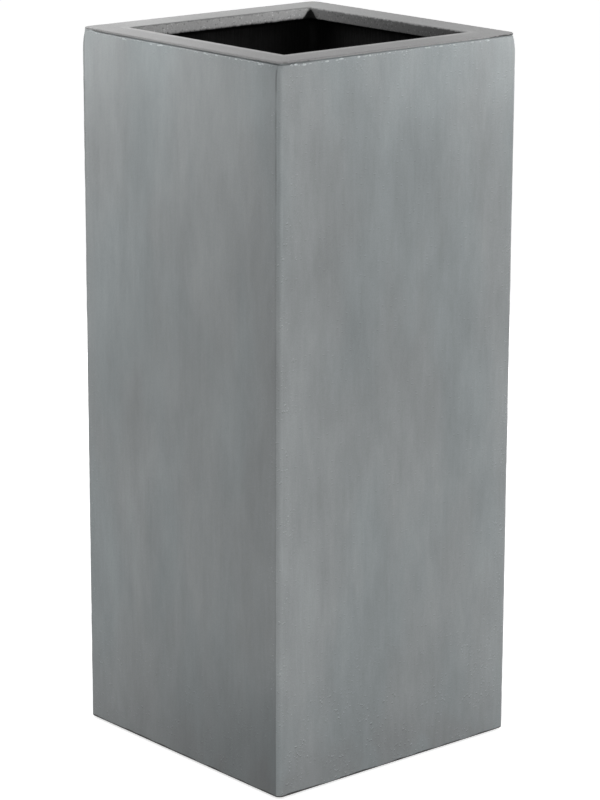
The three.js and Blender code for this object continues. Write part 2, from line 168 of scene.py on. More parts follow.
def rounded_corner(before, corner, after, radius, steps):
    """Points of the arc that rounds a corner of an outline."""
    corner = Vector(corner)
    if radius == 0:
        return [corner]
    back = (Vector(before) - corner).normalized()
    ahead = (Vector(after) - corner).normalized()
    half_angle = back.angle(ahead) / 2
    centre = corner + (back + ahead).normalized() * radius / math.sin(half_angle)
    start = corner + back * radius / math.tan(half_angle) - centre
    end = corner + ahead * radius / math.tan(half_angle) - centre
    return [centre + radius * start.slerp(end, step / steps) for step in range(steps + 1)]


def rounded_outline(corners, steps=FILLET_STEPS):
    """Closed outline through corners (x, y, radius)."""
    count = len(corners)
    outline = []
    for index, (x, y, radius) in enumerate(corners):
        before = corners[index - 1][:2]
        after = corners[(index + 1) % count][:2]
        outline += rounded_corner(before, (x, y), after, radius, steps)
    return outline


def filled_in(outline, spacing):
    """The closed outline with points added where two lie further apart than the spacing."""
    dense = []
    for here, there in zip(outline, outline[1:] + outline[:1]):
        parts = max(1, math.ceil((there - here).length / spacing))
        dense += [here.lerp(there, part / parts) for part in range(parts)]
    return dense


def plan_ring(inset, radius, side_steps):
    """Square with round corners seen from above, anticlockwise from the middle of the +X side."""
    half = HALF - inset
    straight = half - radius
    ring = []
    for quarter in range(4):
        turn = Matrix.Rotation(quarter * math.pi / 2, 2)
        for step in range(side_steps // 2):
            ring.append(turn @ Vector((half, straight * step / (side_steps // 2))))
        for step in range(CORNER_STEPS + 1):
            angle = step / CORNER_STEPS * math.pi / 2
            corner = Vector((straight + radius * math.cos(angle), straight + radius * math.sin(angle)))
            ring.append(turn @ corner)
        for step in range(1, side_steps // 2):
            ring.append(turn @ Vector((straight - straight * step / (side_steps // 2), half)))
    return ring


# ---- Meshes ----

def grid_faces(rings, length, closed):
    """Quads between rings that hold the same number of points."""
    faces = []
    for ring in range(rings if closed else rings - 1):
        here = ring * length
        there = (ring + 1) % rings * length
        for step in range(length):
            following = (step + 1) % length
            faces.append((here + step, here + following, there + following, there + step))
    return faces


def piece(name, points, faces, materials, body, replaces=()):
    """A smooth mesh object that rides on a body and takes its finish from a slot."""
    mesh = bpy.data.meshes.new(name)
    mesh.from_pydata([tuple(point) for point in points], [], faces)
    mesh.validate()
    for material in materials:
        mesh.materials.append(material)
    mesh.shade_smooth()
    made = bpy.data.objects.new(name, mesh)
    bpy.context.scene.collection.objects.link(made)
    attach(made, body)
    if replaces:
        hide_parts(*replaces)
    return made


def face_normals_fixed(made):
    """Turns every face of a closed mesh outwards."""
    work = bmesh.new()
    work.from_mesh(made.data)
    bmesh.ops.recalc_face_normals(work, faces=work.faces)
    work.to_mesh(made.data)
    work.free()


def swept(profile, radius_at, side_steps):
    """Carries a closed profile of (inset, height) round the square plan."""
    points = []
    for inset, height in profile:
        ring = plan_ring(inset, radius_at(inset), side_steps)
        points += [Vector((at.x, at.y, height)) for at in ring]
    length = len(points) // len(profile)
    return points, grid_faces(len(profile), length, closed=True)


def turned(profile, steps):
    """Turns an outline of (radius, height) about Z. Its first and last points lie on the axis."""
    rings = profile[1:-1]
    points = [Vector((0, 0, profile[0][1]))]
    for radius, height in rings:
        for step in range(steps):
            angle = 2 * math.pi * step / steps
            points.append(Vector((radius * math.cos(angle), radius * math.sin(angle), height)))
    points.append(Vector((0, 0, profile[-1][1])))
    quads = grid_faces(len(rings), steps, closed=False)
    faces = [tuple(1 + corner for corner in quad) for quad in quads]
    last = len(points) - 1
    for step in range(steps):
        following = (step + 1) % steps
        faces.append((0, 1 + following, 1 + step))
        faces.append((last, last - steps + step, last - steps + following))
    return points, faces


def between(value, low, high):
    """0 below low, 1 above high, and a smooth step from one to the other."""
    share = min(max((value - low) / (high - low), 0), 1)
    return share * share * (3 - 2 * share)


def waviness(point, size, octaves=2):
    """Smooth noise from about -1 to 1 whose waves are about as long as size."""
    return noise.fractal(point / size, 1.0, 2.0, octaves)


def outward(point):
    """Direction away from the plan's middle, square to the nearest face and turning at a corner."""
    inner = HALF - WALL_CORNER_RADIUS
    x = max(abs(point.x) - inner, 0)
    y = max(abs(point.y) - inner, 0)
    if x == 0 and y == 0:
        x, y = (1, 0) if abs(point.x) > abs(point.y) else (0, 1)
    return Vector((math.copysign(x, point.x), math.copysign(y, point.y), 0)).normalized()


def beside_corner(point):
    """1 on an upright edge, falling to 0 a little way along the faces."""
    along = min(abs(point.x), abs(point.y))
    return between(along, HALF - 3 * WALL_CORNER_RADIUS, HALF - WALL_CORNER_RADIUS)


def joint_openness(point):
    """0 where paint fills the joint below the rim, 1 where it gapes, which is along the -X side."""
    from_side = point.x + HALF
    from_corner = (Vector((point.x, point.y)) - Vector((-HALF, HALF))).length
    gaping = 1 - 0.62 * between(from_side, 12 * MM, 70 * MM)
    uneven = waviness(Vector((point.x, point.y, 0)), 30 * MM, octaves=4)
    return min(max(gaping + 0.35 * uneven, 0), 1) * between(from_corner, 20 * MM, 42 * MM)


def joint_gap(point):
    """Height of the open joint between the walls' top and the rim."""
    return JOINT_TIGHT + (JOINT_OPEN - JOINT_TIGHT) * joint_openness(point)


# ---- Shader helpers ----

class Finish:
    """A material made by short calls. Each call that makes a pattern returns its output socket."""

    def __init__(self, name, **constants):
        self.material = bpy.data.materials.new(name)
        self.material.use_nodes = True
        self.nodes = self.material.node_tree.nodes
        self.links = self.material.node_tree.links
        self.nodes.clear()
        self.surface = self.nodes.new("ShaderNodeBsdfPrincipled")
        self.output = self.nodes.new("ShaderNodeOutputMaterial")
        self.links.new(self.surface.outputs[0], self.output.inputs["Surface"])
        self.place = self.nodes.new("ShaderNodeTexCoord").outputs["Object"]
        for socket, value in constants.items():
            self.surface.inputs[socket.replace("_", " ")].default_value = value

    def feed(self, socket, value):
        if isinstance(value, bpy.types.NodeSocket):
            self.links.new(value, socket)
        else:
            socket.default_value = value

    def math(self, operation, first, second=0.0):
        node = self.nodes.new("ShaderNodeMath")
        node.operation = operation
        self.feed(node.inputs[0], first)
        self.feed(node.inputs[1], second)
        return node.outputs[0]

    def product(self, *factors):
        result = factors[0]
        for factor in factors[1:]:
            result = self.math("MULTIPLY", result, factor)
        return result

    def remap(self, value, low, high, to_low=0.0, to_high=1.0, smooth=True):
        node = self.nodes.new("ShaderNodeMapRange")
        node.interpolation_type = "SMOOTHSTEP" if smooth else "LINEAR"
        for socket, number in zip(node.inputs, (value, low, high, to_low, to_high)):
            self.feed(socket, number)
        return node.outputs[0]

    def stretched(self, x, y, z, drop=0.0):
        """The place in the object, scaled by so many repeats to the metre. Drop lowers the pattern."""
        node = self.nodes.new("ShaderNodeMapping")
        node.inputs["Scale"].default_value = (x, y, z)
        node.inputs["Location"].default_value = (0, 0, drop)
        self.links.new(self.place, node.inputs["Vector"])
        return node.outputs[0]

    def noise(self, x, y, z, detail=2.0, roughness=0.5, distortion=0.0, drop=0.0):
        node = self.nodes.new("ShaderNodeTexNoise")
        self.links.new(self.stretched(x, y, z, drop), node.inputs["Vector"])
        node.inputs["Scale"].default_value = 1.0
        node.inputs["Detail"].default_value = detail
        node.inputs["Roughness"].default_value = roughness
        node.inputs["Distortion"].default_value = distortion
        return node.outputs["Fac"]

    def around_one(self, pattern, amount):
        """A noise pattern as a factor from 1 - amount to 1 + amount."""
        return self.remap(pattern, 0.25, 0.75, 1 - amount, 1 + amount, smooth=False)

    def specks(self, x, y, z, share, size, seed=0.0, drop=0.0):
        """Specks in a share of the cells. 1 inside a speck."""
        node = self.nodes.new("ShaderNodeTexVoronoi")
        self.links.new(self.stretched(x, y, z, drop), node.inputs["Vector"])
        node.inputs["Scale"].default_value = 1.0
        node.inputs["Randomness"].default_value = 1.0
        chosen = self.nodes.new("ShaderNodeSeparateColor")
        self.links.new(node.outputs["Color"], chosen.inputs[0])
        number = self.math("FRACT", self.math("ADD", chosen.outputs[0], seed))
        picked = self.math("LESS_THAN", number, share)
        return self.product(picked, self.remap(node.outputs["Distance"], 0.6 * size, size, 1.0, 0.0))

    def blend(self, share, first, second):
        node = self.nodes.new("ShaderNodeMix")
        node.data_type = "RGBA"
        self.feed(node.inputs["Factor"], share)
        for socket, colour in ((node.inputs[6], first), (node.inputs[7], second)):
            self.feed(socket, colour if isinstance(colour, bpy.types.NodeSocket) else (*colour, 1.0))
        return node.outputs[2]

    def scaled(self, colour, factor):
        """The colour times a factor that may pass 1."""
        node = self.nodes.new("ShaderNodeVectorMath")
        node.operation = "SCALE"
        self.feed(node.inputs[0], colour)
        self.feed(node.inputs["Scale"], factor)
        return node.outputs[0]

    def split(self):
        node = self.nodes.new("ShaderNodeSeparateXYZ")
        self.links.new(self.place, node.inputs[0])
        return node.outputs

    def coloured(self, colour):
        self.feed(self.surface.inputs["Base Color"], colour)

    def rough(self, value):
        self.feed(self.surface.inputs["Roughness"], value)

    def bumped(self, height, depth):
        node = self.nodes.new("ShaderNodeBump")
        node.inputs["Strength"].default_value = 1.0
        node.inputs["Distance"].default_value = depth
        self.feed(node.inputs["Height"], height)
        self.links.new(node.outputs[0], self.surface.inputs["Normal"])


# ---- Finishes ----

def brushed(finish):
    """Pattern of the paint: clouds, brush marks that run down the walls, and fine grain."""
    return {
        "cloud": finish.noise(8, 8, 5, detail=3, roughness=0.55),
        "patch": finish.noise(26, 26, 10, detail=3, roughness=0.55, distortion=0.3),
        "wide": finish.noise(70, 70, 11, detail=2, roughness=0.5, distortion=0.2),
        "fine": finish.noise(230, 230, 30, detail=3, roughness=0.6),
        "grain": finish.noise(800, 800, 800, detail=2),
    }


def zinc_colour(finish, marks):
    hue = finish.remap(finish.noise(9, 9, 3.5, detail=2), 0.38, 0.62)
    tint = finish.blend(hue, ZINC_COOL, ZINC_WARM)
    factor = finish.product(
        finish.around_one(marks["cloud"], 0.09),
        finish.around_one(marks["patch"], 0.08),
        finish.around_one(marks["wide"], 0.055),
        finish.around_one(marks["fine"], 0.045),
        finish.around_one(marks["grain"], 0.07),
    )
    return tint, factor


def wall_places(finish):
    """Where a point of the walls lies: its place, how near an upright edge, and on which faces.

    The round upright edges go with the faces that look along Y.
    """
    x, y, z = finish.split()
    across_x = finish.math("ABSOLUTE", x)
    across_y = finish.math("ABSOLUTE", y)
    along = finish.math("MINIMUM", across_x, across_y)
    edge = HALF - WALL_CORNER_RADIUS
    flat = finish.remap(along, edge, edge + 1.5 * MM, 1.0, 0.0)
    faces_x = finish.remap(finish.math("SUBTRACT", across_x, across_y), -0.5 * MM, 0.5 * MM)
    return {
        "x": x, "y": y, "z": z, "along": along, "edge": edge, "faces_x": faces_x,
        "arc": finish.math("SUBTRACT", 1.0, flat),
        "x_flat": finish.product(faces_x, flat),
    }


def wall_tone(finish, at):
    """Broad changes of tone up and along the walls.

    They also carry part of the light and shade that the photograph shows.
    """
    edge = at["edge"]
    on_x_faces = finish.product(
        finish.remap(at["y"], -edge, edge, 0.92, 1.09, smooth=False),
        finish.remap(at["y"], -edge, 70 * MM - edge, 0.93, 1.0),
    )
    on_y_faces = finish.product(
        finish.remap(at["along"], 60 * MM, edge, 0.98, 1.05),
        finish.remap(at["x"], 0.0, edge, 1.0, 1.04),
    )
    x_face_bottom = finish.remap(at["y"], -edge, edge, 0.70, 0.86)
    return finish.product(
        finish.remap(at["x_flat"], 0, 1, on_y_faces, on_x_faces),
        finish.remap(at["z"], 0.30, 0.58, 1.0, 0.92),
        finish.remap(at["z"], 0.74, 0.89, 1.0, 1.17),
        finish.remap(at["z"], 0.0, 0.26, finish.remap(at["x_flat"], 0, 1, 0.94, x_face_bottom), 1.0),
        finish.remap(at["arc"], 0, 1, 1.0, 1.06),
    )


def dark_line_beside_edges(finish, at):
    """Darker line on the faces that look along X, just beside the upright edges, fading out near the top
    and weaker lower down.
    """
    edge = at["edge"]
    return finish.product(
        finish.remap(at["along"], edge - 2.5 * MM, edge),
        finish.remap(at["along"], edge + 0.4 * MM, edge + 1.6 * MM, 1.0, 0.0),
        finish.remap(finish.noise(60, 60, 45, detail=3), 0.25, 0.6, 0.35, 1.0),
        finish.remap(at["z"], RIM_TOP - 11 * MM, RIM_TOP - 7 * MM, 1.0, 0.0),
        finish.remap(at["z"], RIM_TOP - 220 * MM, RIM_TOP - 40 * MM, 0.3, 1.0),
        at["faces_x"],
    )


def wall_specks(finish, at):
    """Crumbs in the paint, in patches near the bottom, the top and the upright edges.

    Each has a painted highlight on its top and a painted shadow just below it.
    """
    busy = finish.math(
        "MAXIMUM",
        finish.remap(at["z"], 60 * MM, 230 * MM, 1.0, 0.0),
        finish.remap(at["along"], at["edge"] - 45 * MM, at["edge"], 0.0, 0.8),
    )
    busy = finish.math("MAXIMUM", busy, finish.remap(at["z"], RIM_TOP - 40 * MM, RIM_TOP, 0.0, 0.8))
    busy = finish.product(
        busy,
        finish.remap(finish.noise(22, 22, 22, detail=2), 0.40, 0.56),
        finish.remap(finish.noise(110, 110, 110, detail=1), 0.35, 0.60, 0.25, 1.0),
        finish.remap(at["x_flat"], 0, 1, 1.0, 0.65),
    )
    # The second copy lies dropped a little below the first. Less their overlap, the first gives the
    # painted highlights and the second the painted shadows.
    crumbs = [
        finish.remap(finish.noise(270, 270, 290, detail=3, roughness=0.6, drop=drop), 0.585, 0.65)
        for drop in (0.0, 0.4)
    ]
    shared = finish.product(crumbs[0], crumbs[1])
    light = finish.product(busy, finish.math("SUBTRACT", crumbs[0], shared))
    dark = finish.product(busy, finish.math("SUBTRACT", crumbs[1], shared))
    return light, dark


def wall_paint():
    finish = Finish("wall_paint", Metallic=0.2, Specular_IOR_Level=0.35)
    marks = brushed(finish)
    tint, factor = zinc_colour(finish, marks)
    at = wall_places(finish)
    # Duller and slightly darker patches near the bottom of the walls.
    low_dull_patches = finish.product(
        finish.remap(at["z"], 15 * MM, 95 * MM, 1.0, 0.0),
        finish.remap(finish.noise(16, 16, 9, detail=3), 0.40, 0.58),
    )
    lit_crumb_tops, crumb_shadows = wall_specks(finish, at)
    # Dashes with a painted highlight, and the same dashes dropped a little below as their painted
    # shadow.
    lit_dash_tops = finish.specks(140, 140, 400, 0.09, 0.30)
    dash_shadows = finish.specks(140, 140, 400, 0.09, 0.30, drop=0.5)
    factor = finish.product(
        factor,
        wall_tone(finish, at),
        # darker line beside the upright edges
        finish.remap(dark_line_beside_edges(finish, at), 0, 1, 1.0, 0.62),
        finish.remap(low_dull_patches, 0, 1, 1.0, 0.95),
        # painted highlights on the crumbs and painted shadows below them
        finish.remap(lit_crumb_tops, 0, 1, 1.0, 1.46),
        finish.remap(crumb_shadows, 0, 1, 1.0, 0.66),
        # painted highlights on the dashes and painted shadows below them
        finish.remap(lit_dash_tops, 0, 1, 1.0, 1.14),
        finish.remap(dash_shadows, 0, 1, 1.0, 0.86),
    )
    # Painted shadow along the bottom edge of the walls, with a ragged top.
    ragged = finish.remap(finish.noise(30, 30, 30, detail=4), 0.3, 0.7, -0.9 * MM, 0.9 * MM)
    bottom_edge_shadow = finish.remap(
        finish.math("ADD", at["z"], ragged), WALL_BOTTOM + 1.9 * MM, WALL_BOTTOM + 2.6 * MM, 1.0, 0.0)
    tint = finish.blend(low_dull_patches, tint, ZINC_DULL_LOW)
    finish.coloured(finish.blend(bottom_edge_shadow, finish.scaled(tint, factor), BOTTOM_SHADOW_GREY))
    finish.rough(finish.remap(marks["wide"], 0.3, 0.7, 0.52, 0.62))
    height = finish.math(
        "ADD", finish.product(marks["fine"], 0.6), finish.product(marks["grain"], 0.5))
    height = finish.math("ADD", height, finish.math("ADD", lit_crumb_tops, lit_dash_tops))
    finish.bumped(height, 0.08 * MM)
    return finish.material


def rim_paint():
    """Plain grained grey on top. On the lip, black from inside has strayed over the paint.

    The tone from corner to corner carries part of the light that the photograph shows.
    """
    finish = Finish("rim_paint", Specular_IOR_Level=0.2)
    x, y, z = finish.split()
    across_x = finish.math("ABSOLUTE", x)
    across_y = finish.math("ABSOLUTE", y)
    mouth = HALF - RIM_WIDTH
    grain = finish.noise(420, 420, 420, detail=3, roughness=0.65)
    cloud = finish.noise(24, 24, 24, detail=3)
    light_specks = finish.specks(300, 300, 300, 0.13, 0.34)
    dark_specks = finish.specks(270, 270, 270, 0.10, 0.34, seed=0.44)
    factor = finish.product(
        finish.around_one(cloud, 0.06),
        finish.around_one(grain, 0.14),
        finish.remap(light_specks, 0, 1, 1.0, 1.22),
        finish.remap(dark_specks, 0, 1, 1.0, 0.82),
    )
    grey = finish.scaled(finish.blend(cloud, RIM_GREY, RIM_GREY_DULL), factor)

    ragged = finish.noise(130, 130, 90, detail=3, roughness=0.65)
    depth = finish.math("SUBTRACT", RIM_TOP, z)
    depth = finish.math("ADD", depth, finish.remap(ragged, 0.3, 0.7, -0.8 * MM, 0.8 * MM))
    inner = finish.math("MAXIMUM", across_x, across_y)
    corner = finish.math("MINIMUM", across_x, across_y)
    corner_reach = finish.remap(corner, mouth - 14 * MM, mouth - 1 * MM, 0.0, 11 * MM)
    black_edge = finish.remap(
        finish.math("ADD", depth, corner_reach), LIP_DEPTH - 3.5 * MM, LIP_DEPTH + 0.5 * MM)
    dark_side = finish.product(
        finish.remap(x, mouth - 6 * MM, mouth - 1 * MM),
        finish.remap(depth, 0.8 * MM, 2.4 * MM),
        finish.remap(y, -mouth, mouth, 0.89, 0.76, smooth=False),
    )
    under = finish.product(
        finish.remap(inner, mouth + 1.5 * MM, mouth + 2.5 * MM),
        finish.remap(depth, 3.2 * MM, 3.6 * MM),
    )
    black = finish.math("MAXIMUM", black_edge, finish.math("MAXIMUM", dark_side, under))
    on_lip = finish.product(
        finish.remap(depth, 1.2 * MM, 2.4 * MM),
        finish.remap(inner, HALF - 8 * MM, HALF - 4 * MM, 1.0, 0.0),
    )
    # The rim's outer edge and its rounding, which get painted shade.
    on_outer_edge = finish.remap(inner, HALF - 3.5 * MM, HALF - 1.5 * MM)
    speckled_corner = finish.product(
        finish.remap(x, 6 * MM - mouth, 30 * MM - mouth, 1.0, 0.0),
        finish.remap(finish.noise(260, 260, 260, detail=3), 0.42, 0.56),
        on_lip,
    )
    # Painted highlight along the mouth edge, on the two near sides only.
    near_mouth_highlight = finish.product(
        finish.remap(inner, mouth + 7 * MM, mouth + 12 * MM, 1.0, 0.0),
        finish.remap(depth, 0.8 * MM, 1.8 * MM, 1.0, 0.0),
        finish.remap(finish.noise(130, 130, 130, detail=3, roughness=0.7), 0.35, 0.6, 0.45, 1.0),
        finish.remap(finish.math("ADD", x, y), -0.05, 0.05, 1.0, 0.2),
    )
    flecks = finish.specks(330, 330, 330, 0.22, 0.40, seed=0.61)
    pits = finish.specks(300, 300, 300, 0.22, 0.40, seed=0.23)
    lit_corner = finish.product(
        finish.remap(x, -HALF, 110 * MM - HALF, 1.0, 0.0),
        finish.remap(y, -40 * MM, HALF - 30 * MM),
    )
    marks_and_painted_light = finish.product(
        finish.remap(lit_corner, 0, 1, 1.0, 0.82),
        # painted light: lighter towards +X and towards the far corner
        finish.remap(x, 0, HALF, 1.0, 1.12),
        finish.remap(finish.math("ADD", x, y), 50 * MM, 2 * HALF, 1.0, 1.12),
        # painted light: the lip's inner faces made lighter
        finish.remap(on_lip, 0, 1, 1.0, 1.65),
        finish.remap(speckled_corner, 0, 1, 1.0, 0.55),
        # painted shade on the rim's outer edge
        finish.remap(on_outer_edge, 0, 1, 1.0, 0.84),
        finish.remap(finish.product(flecks, on_lip), 0, 1, 1.0, 1.4),
        finish.remap(finish.product(pits, on_lip), 0, 1, 1.0, 0.6),
        finish.remap(near_mouth_highlight, 0, 1, 1.0, 1.30),
    )
    finish.coloured(finish.blend(black, finish.scaled(grey, marks_and_painted_light), RESIN_BLACK))
    finish.rough(finish.remap(grain, 0.3, 0.7, 0.66, 0.78))
    finish.bumped(finish.math("ADD", grain, finish.product(ragged, on_lip)), 0.16 * MM)
    return finish.material


def bead_paint():
    finish = Finish("bead_paint", Metallic=0.25, Specular_IOR_Level=0.5)
    grain = finish.noise(800, 800, 800)
    # The walls' zinc made 1.65 times lighter, a painted highlight on the beads.
    finish.coloured(finish.scaled(finish.blend(grain, ZINC_COOL, ZINC_WARM), 1.65))
    finish.rough(finish.remap(grain, 0.3, 0.7, 0.35, 0.5))
    finish.bumped(grain, 0.05 * MM)
    return finish.material


def strands(finish, angle, repeats):
    """Long thin marks that lie at one angle, as the strands of a glass mat do."""
    turn = finish.nodes.new("ShaderNodeMapping")
    turn.inputs["Rotation"].default_value = (angle, 0.7 * angle, angle)
    turn.inputs["Scale"].default_value = (repeats, repeats, repeats / 18)
    finish.links.new(finish.place, turn.inputs["Vector"])
    node = finish.nodes.new("ShaderNodeTexNoise")
    finish.links.new(turn.outputs[0], node.inputs["Vector"])
    node.inputs["Scale"].default_value = 1.0
    node.inputs["Detail"].default_value = 1.0
    return finish.remap(node.outputs["Fac"], 0.56, 0.66)


def black_laminate():
    """Glass mat under matt black resin."""
    finish = Finish("black_laminate", Specular_IOR_Level=0.25)
    mat = strands(finish, 0.3, 420)
    for angle in (1.1, 1.9, 2.7):
        mat = finish.math("MAXIMUM", mat, strands(finish, angle, 420))
    lumps = finish.noise(45, 45, 45, detail=3, roughness=0.6)
    finish.coloured(finish.blend(mat, RESIN_BLACK, (0.0075, 0.0075, 0.0075)))
    finish.rough(finish.remap(lumps, 0.3, 0.7, 0.62, 0.82))
    finish.bumped(finish.math("ADD", finish.product(mat, 0.35), lumps), 0.5 * MM)
    return finish.material


def black_plastic():
    """Moulded plastic with a fine spark-eroded grain and a few rubbed patches."""
    finish = Finish("black_plastic", Specular_IOR_Level=0.45)
    grain = finish.noise(1500, 1500, 1500, detail=2, roughness=0.7)
    rubbed = finish.remap(finish.noise(25, 25, 25, detail=4, roughness=0.65), 0.55, 0.75)
    finish.coloured(finish.blend(rubbed, PLASTIC_BLACK, (0.022, 0.022, 0.023)))
    finish.rough(finish.remap(rubbed, 0, 1, 0.55, 0.42))
    finish.bumped(grain, 0.10 * MM)
    return finish.material


def rubber():
    finish = Finish("rubber", Specular_IOR_Level=0.3)
    bloom = finish.noise(120, 120, 120, detail=4, roughness=0.6)
    dust = finish.specks(700, 700, 700, 0.12, 0.25)
    colour = finish.blend(finish.remap(bloom, 0.4, 0.7), RUBBER_BLACK, (0.026, 0.026, 0.025))
    finish.coloured(finish.blend(finish.product(dust, 0.3), colour, (0.09, 0.09, 0.085)))
    finish.rough(finish.remap(bloom, 0.3, 0.7, 0.72, 0.88))
    finish.bumped(finish.math("ADD", bloom, finish.product(dust, 0.5)), 0.08 * MM)
    return finish.material


def screw_steel():
    finish = Finish("screw_steel", Metallic=1.0)
    turning = finish.noise(300, 300, 2500, detail=2)
    stain = finish.remap(finish.noise(350, 350, 350, detail=4, roughness=0.65), 0.52, 0.72)
    finish.coloured(finish.blend(finish.product(stain, 0.6), SCREW_STEEL, (0.30, 0.27, 0.22)))
    finish.rough(finish.remap(turning, 0.3, 0.7, 0.26, 0.42))
    finish.bumped(turning, 0.02 * MM)
    return finish.material


# ---- Walls and rim ----

def side_steps_for(step):
    """Even number of steps along one side."""
    return 2 * math.ceil(HALF / step)


def build_walls(paint):
    """Wall shell whose faces wave a little, with worn upright edges and an uneven top edge."""
    top = LAP_UNDERSIDE - JOINT_TIGHT
    outline = filled_in(rounded_outline([
        (FACE_SINK, WALL_BOTTOM, WALL_BOTTOM_RADIUS),
        (FACE_SINK, top, WALL_TOP_RADIUS),
        (WALL_THICKNESS - LINING_THICKNESS, top, 0),
        (WALL_THICKNESS - LINING_THICKNESS, WALL_BOTTOM, 0),
    ]), ROW_STEP)

    def radius_at(inset):
        share = inset / WALL_THICKNESS
        return WALL_CORNER_RADIUS + share * (WALL_INNER_CORNER_RADIUS - WALL_CORNER_RADIUS)

    points, faces = swept(outline, radius_at, side_steps_for(FACE_STEP))
    for point in points:
        facing = outward(point)
        depth = HALF - max(abs(point.x), abs(point.y))
        if depth < WALL_THICKNESS / 2 or beside_corner(point) > 0:
            wave = FACE_WAVE * waviness(point, 110 * MM)
            wave += EDGE_WAVE * beside_corner(point) * waviness(point, 14 * MM, octaves=3)
            point += facing * wave
        along = min(abs(point.x), abs(point.y))
        on_corner = between(along, HALF - 2 * WALL_CORNER_RADIUS, HALF - 0.6 * WALL_CORNER_RADIUS)
        near_top = max(point.z - (top - CORNER_WEAR_HEIGHT), 0) / CORNER_WEAR_HEIGHT
        if depth < WALL_THICKNESS / 2 or on_corner > 0:
            point -= facing * CORNER_WEAR * on_corner * near_top ** 2
        lowered = joint_gap(point) - JOINT_TIGHT
        point.z -= lowered * between(point.z, top - 6 * MM, top - WALL_TOP_RADIUS)
    made = piece("planter_walls", points, faces, [paint], "planter", ["wall_shell"])
    face_normals_fixed(made)


def build_lining(black):
    """Black resin on the inner faces of the walls."""
    outer = WALL_THICKNESS - LINING_THICKNESS - LINING_CLEARANCE
    bottom = WALL_BOTTOM + LINING_BOTTOM_SHORT
    top = RIM_TOP - LINING_TOP_SHORT
    outline = filled_in(rounded_outline([
        (outer, bottom, 0), (outer, top, 0), (WALL_THICKNESS, top, 0), (WALL_THICKNESS, bottom, 0),
    ]), 4 * ROW_STEP)
    points, faces = swept(outline, lambda inset: WALL_INNER_CORNER_RADIUS, side_steps_for(2 * FACE_STEP))
    made = piece("wall_lining", points, faces, [black], "planter")
    face_normals_fixed(made)


def build_rim(paint):
    """Inverted channel that laps over the walls, with a rolled mouth edge and a rough lip."""
    lip_inset = RIM_WIDTH - LIP_THICKNESS
    bond_inset = WALL_THICKNESS + BOND_GAP
    flange_inset = bond_inset + RIM_FLANGE_THICKNESS
    lip_bottom = RIM_TOP - LIP_DEPTH
    flange_bottom = RIM_TOP - RIM_FLANGE_DEPTH
    underside = RIM_TOP - RIM_THICKNESS
    outline = filled_in(rounded_outline([
        (RIM_SET_BACK, LAP_UNDERSIDE, 0.4 * MM),
        (RIM_SET_BACK, RIM_TOP, RIM_EDGE_RADIUS),
        (RIM_WIDTH, RIM_TOP, MOUTH_EDGE_RADIUS),
        (RIM_WIDTH, lip_bottom, LIP_EDGE_RADIUS),
        (lip_inset, lip_bottom, LIP_EDGE_RADIUS),
        (lip_inset, underside, LAMINATE_FILLET),
        (flange_inset, underside, LAMINATE_FILLET),
        (flange_inset, flange_bottom, 0),
        (bond_inset, flange_bottom, 0),
        (bond_inset, LAP_UNDERSIDE, 0),
    ]), 4 * MM)

    def radius_at(inset):
        share = (inset - RIM_SET_BACK) / (RIM_WIDTH - RIM_SET_BACK)
        return RIM_CORNER_RADIUS + share * (MOUTH_CORNER_RADIUS - RIM_CORNER_RADIUS)

    points, faces = swept(outline, radius_at, side_steps_for(0.6 * FACE_STEP))
    mouth = HALF - RIM_WIDTH
    for point in points:
        reach = max(abs(point.x), abs(point.y))
        on_top = between(point.z, RIM_TOP - 3 * MM, RIM_TOP - 1 * MM)
        point.z -= RIM_WAVE * (1 + waviness(point, 45 * MM, octaves=3)) / 2 * on_top
        at_mouth = 1 - between(reach, mouth + 1 * MM, mouth + 4 * MM)
        at_edge = between(reach, HALF - 4 * MM, HALF - 2 * MM)
        push = MOUTH_EDGE_WAVE * waviness(point, 9 * MM, octaves=3) * at_mouth
        push += RIM_EDGE_WAVE * (waviness(point, 16 * MM, octaves=3) - 0.4) * at_edge
        point += outward(point) * push
    made = piece("planter_rim", points, faces, [paint], "planter", ["rim_frame"])
    face_normals_fixed(made)


def build_joint_paint(paint):
    """Paint that has run into the joint below the rim and fills it unevenly.

    It stands flush where the joint is filled and lies back where it gapes.
    """
    shallow = RIM_SET_BACK + 0.3 * MM
    deep = WALL_THICKNESS - 1 * MM
    low = LAP_UNDERSIDE - JOINT_OPEN - 0.5 * MM
    high = RIM_TOP - JOINT_PAINT_TOP_SHORT
    outline = filled_in(rounded_outline([
        (shallow, low, 0), (shallow, high, 0), (deep, high, 0), (deep, low, 0),
    ]), 0.6 * MM)
    points, faces = swept(outline, lambda inset: RIM_CORNER_RADIUS, side_steps_for(0.25 * FACE_STEP))
    for point in points:
        if HALF - max(abs(point.x), abs(point.y)) < WALL_THICKNESS / 2 or beside_corner(point) > 0:
            openness = joint_openness(point)
            filled = 1 - min(3 * openness, 1)
            hollow = 1.6 * openness + 0.5 * (1 + waviness(point, 6 * MM, octaves=3)) * (1 - filled)
            point -= outward(point) * (min(hollow, 2.4) - 0.4 * filled) * MM
    made = piece("joint_paint", points, faces, [paint], "planter")
    face_normals_fixed(made)


# ---- Paint beads ----

def bead(centre, facing, along, up, out):
    """Flattened blob half sunk in the paint."""
    sideways = facing.cross(Vector((0, 0, 1))).normalized()
    points = []
    for ring in range(BEAD_RINGS + 1):
        polar = math.pi * ring / BEAD_RINGS
        for step in range(BEAD_STEPS):
            turn = 2 * math.pi * step / BEAD_STEPS
            points.append(
                centre
                + sideways * along * math.sin(polar) * math.cos(turn)
                + Vector((0, 0, up)) * math.sin(polar) * math.sin(turn)
                + facing * out * math.cos(polar))
    return points, grid_faces(BEAD_RINGS + 1, BEAD_STEPS, closed=False)


def on_wall(side, along, height):
    """A place on an outer face and the way that the face looks. Side 0 looks to +X."""
    turn = Matrix.Rotation(side * math.pi / 2, 3, "Z")
    return turn @ Vector((HALF - FACE_SINK, along, height)), turn @ Vector((1, 0, 0))


